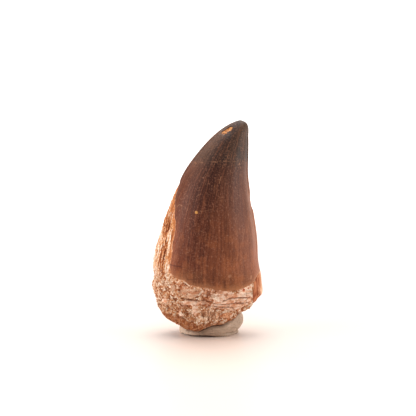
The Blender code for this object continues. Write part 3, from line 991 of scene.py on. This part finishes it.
def bare_colour(at):
    """The colour of all that isn't enamel, with dirt in its hollows and cracks."""
    pale = stored(at, "pale").between(0.3, 0.7)
    colour = pale.paint(sand_colour(at), bone_colour(at))
    colour = (stored(at, "comb") * 0.5).paint(colour, srgb(240, 200, 168))
    knob = cloud(at, 0.6, 3.0).ramp(
        (0.36, srgb(168, 96, 60)), (0.5, srgb(204, 138, 96)), (0.62, srgb(230, 180, 144)),
    )
    colour = stored(at, "nodule").between(0.3, 0.7).paint(colour, knob)
    strip = stored(at, "strip")
    colour = strip.paint(colour, strip_colour(at))
    corner = stored(at, "corner").between(0.3, 0.7)
    colour = corner.paint(colour, corner_colour(at))
    colour = (at.gap * (1 - corner) * (1 - 0.8 * pale) * 0.5).stain(colour, DIRT)
    colour = (stored(at, "hollows").between(0.2, 0.9) * 0.85).stain(colour, DIRT)
    # Cream marks, and painted glints on the comb.
    for begin, end, width in CREAM_MARKS_AND_GLINTS:
        colour = (line(at, begin, end, width) * 0.55).paint(colour, CREAM)
    for begin, end, width in RED_MARKS:
        colour = line(at, begin, end, width).paint(colour, RED)
    return (stored(at, "cracks") * 0.85).stain(colour, CRACK_DIRT)


# %% [markdown]
# ## One finish for the whole tooth
#
# Crown and root are one piece, so they share one material. The enamel edge decides between them, roughened
# by a little noise so that it stays crisp between the points of the mesh. The enamel has a satin gloss, and
# the bone has none.

# %% Tooth finish


def tooth_finish():
    """The material of the whole tooth."""
    finish, at = new_finish("fossil_tooth")
    at.around, at.across, at.facing = (stored(at, name) for name in ("around", "across", "facing"))
    at.edge = stored(at, "enamel_edge") + (cloud(at, 0.35) - 0.5) * 0.25
    at.front = at.facing.between(-0.02, 0.02)
    at.flat = at.place.vector("MULTIPLY", (1, 0, 1))
    at.gap, at.grain = grain_texture(at)
    enamel = at.edge.between(-0.06, 0.08)
    colour, ridges = enamel_colour(at)
    colour = enamel.paint(bare_colour(at), enamel_marks(at, colour))
    rough = 0.86 - enamel * 0.44 + (cloud(at, 0.42) - 0.5) * enamel * 0.16
    bumps = enamel * ridges + (1 - enamel) * (0.08 - at.gap * 0.08 + cloud(at, 0.2) * 0.05)
    return finish_with(finish, colour, rough, bumps, specular=0.18)


tooth.data.materials.append(tooth_finish())
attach(tooth, "root")
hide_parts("tooth")
print("tooth material nodes:", len(tooth.data.materials[0].node_tree.nodes))

# %% [markdown]
# ## The putty
#
# The putty is a pinch of soft material squeezed between finger and thumb. Its solid has the right form and
# the hollow that the root sits in, but hard cut edges. A voxel remesh gives it an even skin, smoothing rounds
# the lip, and then it is dented by noise of two sizes. Its left foot spreads a little, its front is undercut,
# and at the right its foot stands out below a crease. Where the lip comes near the root it is pulled onto it,
# as putty is when something is pressed in.

# %% Rounded putty
VOXEL = 0.26 * MM

putty = merged_copy("putty", "putty_lump")
apply_modifier(putty, "REMESH", mode="VOXEL", voxel_size=VOXEL)
apply_modifier(putty, "SMOOTH", factor=0.6, iterations=3)
apply_modifier(putty, "SUBSURF", levels=1, render_levels=1)
print("putty:", len(putty.data.vertices), "points")

# %% Dents, crease, undercut and spread
#
# SMOOTHING_LOSS gives back what the smoothing took off all round.
SMOOTHING_LOSS = 0.16
DENT_DEPTH = 0.16
CREASE_HEIGHT = 0.9
CREASE_DEPTH = 0.26
FOOT_BULGE = 0.12
UNDERCUT_DEPTH = 0.55
LEFT_SPREAD = 0.35
LEFT_FOOT_SPREAD = 0.9

points = points_of(putty.data)
normals = normals_of(putty.data)
x, y, z = points.T
dents = wobble(points, 2.2, (3, 8, 1))
creases = 1 - np.abs(wobble(points * (0.6, 0.6, 1.6), 1.6, (8, 8, 2))) * 2
grit = wobble(points, 0.4, (1, 1, 5))
relief = SMOOTHING_LOSS + DENT_DEPTH * dents - 0.14 * ease((creases - 0.78) / 0.2) + 0.03 * grit
relief *= ease(z / 0.6)

front = ease((2.0 - y) / 1.5)
right_front = front * ease((x - 2.0) / 2.5)
crease = right_front * ease(1 - np.abs(z - CREASE_HEIGHT + 0.2 * dents) / 0.4)
relief += right_front * FOOT_BULGE * ease(z / 0.15) * ease((0.6 - z) / 0.3) - crease * CREASE_DEPTH
undercut = front * ease((2.0 - x) / 3.0) * ease((x + 6.5) / 2.0) * ease((0.7 - z) / 0.5)
relief -= undercut * UNDERCUT_DEPTH

points = points + normals * relief[:, None]
points[:, 0] -= ease((-1.5 - x) / 4.0) * (LEFT_SPREAD + LEFT_FOOT_SPREAD * ease((1.6 - z) / 1.4))

# %% The lip and the move
#
# The pull grows from nothing at LIP_REACH from the root to its full strength at LIP_FULL.
LIP_REACH = 0.8
LIP_FULL = 0.35
LIP_GAP = 0.05
LIP_PULL = 0.6
GRIME_AND_SHADE_REACH = 1.3

corners = [vertex.co for vertex in tooth.data.vertices]
root_tree = BVHTree.FromPolygons(corners, [face.vertices for face in tooth.data.polygons])
near_root = np.zeros(len(points))
for i, point in enumerate(points):
    nearest, _, _, gap = root_tree.find_nearest(Vector(point) * MM)
    gap /= MM
    near_root[i] = ease(GRIME_AND_SHADE_REACH - gap)
    if gap < LIP_REACH:
        pull = ease((LIP_REACH - gap) / (LIP_REACH - LIP_FULL))
        points[i] += (np.array(nearest) / MM - point) / gap * max(0.0, gap - LIP_GAP) * pull * LIP_PULL
points[:, 2] = np.maximum(points[:, 2], 0.0)
putty.data.vertices.foreach_set("co", (points * MM).ravel())
putty.data.update()
store(putty, near_root=near_root, crease=np.clip(crease, 0, 1))
only(putty)
bpy.ops.object.shade_smooth()
print("putty points close to the root:", int((near_root > 0.5).sum()))

# %% [markdown]
# ## The colour of the putty
#
# Handled putty is a warm grey with a little dust in it: paler on the ridges, with a few dark specks. Its
# crease is painted darker, a painted shade, and its middle under the tooth carries a painted shadow. Its left
# end is painted paler, a painted highlight where the left lamp falls. Where the root comes close it is
# darker, partly grime rubbed off the root and partly painted shade at the contact. It is matt, with a very
# slight sheen where fingers have pressed it smooth.

# %% Putty finish
SPECK_AND_CREASE_SHADE = (0.5, 0.45, 0.42)
UNDER_TOOTH_SHADE = (0.62, 0.54, 0.50)
GRIME_AND_CONTACT_SHADE = (0.42, 0.34, 0.28)


def putty_finish():
    """The material of the putty."""
    finish, at = new_finish("grey_putty")
    colour = cloud(at, 2.6, 3.0).ramp((0.3, srgb(162, 138, 118)), (0.7, srgb(196, 170, 148)))
    colour = (cloud(at, 0.5).between(0.58, 0.72) * 0.4).stain(colour, SPECK_AND_CREASE_SHADE)
    colour = (cloud(at, 0.35).between(0.58, 0.75) * 0.35).paint(colour, srgb(206, 188, 170))
    # Painted highlight: the left end is painted paler, where the left lamp lights it.
    colour = (at.x.between(-1.5, -5.0) * 0.5).paint(colour, srgb(222, 196, 174))
    # Painted shade: the crease above the right foot is painted darker.
    colour = (stored(at, "crease") * 0.5).stain(colour, SPECK_AND_CREASE_SHADE)
    # Painted shadow: the middle of the putty, under the overhanging root, is painted darker.
    under_tooth_shade = at.x.between(5.0, 0.0) * at.x.between(-7.0, -3.0)
    colour = (under_tooth_shade * 0.45).stain(colour, UNDER_TOOTH_SHADE)
    # Where the root comes close the putty is darker: partly grime rubbed off the root, partly painted shade
    # where the tooth meets and overhangs it.
    grime_and_contact_shade = stored(at, "near_root") * (0.4 + at.x.between(-4.0, -1.0) * 0.5)
    colour = grime_and_contact_shade.stain(colour, GRIME_AND_CONTACT_SHADE)
    rough = 0.68 + cloud(at, 1.0) * 0.12
    bumps = cloud(at, 0.6) * 0.06 + cloud(at, 0.25) * 0.03
    return finish_with(finish, colour, rough, bumps, specular=0.25)


putty.data.materials.append(putty_finish())
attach(putty, "root")
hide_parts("putty")
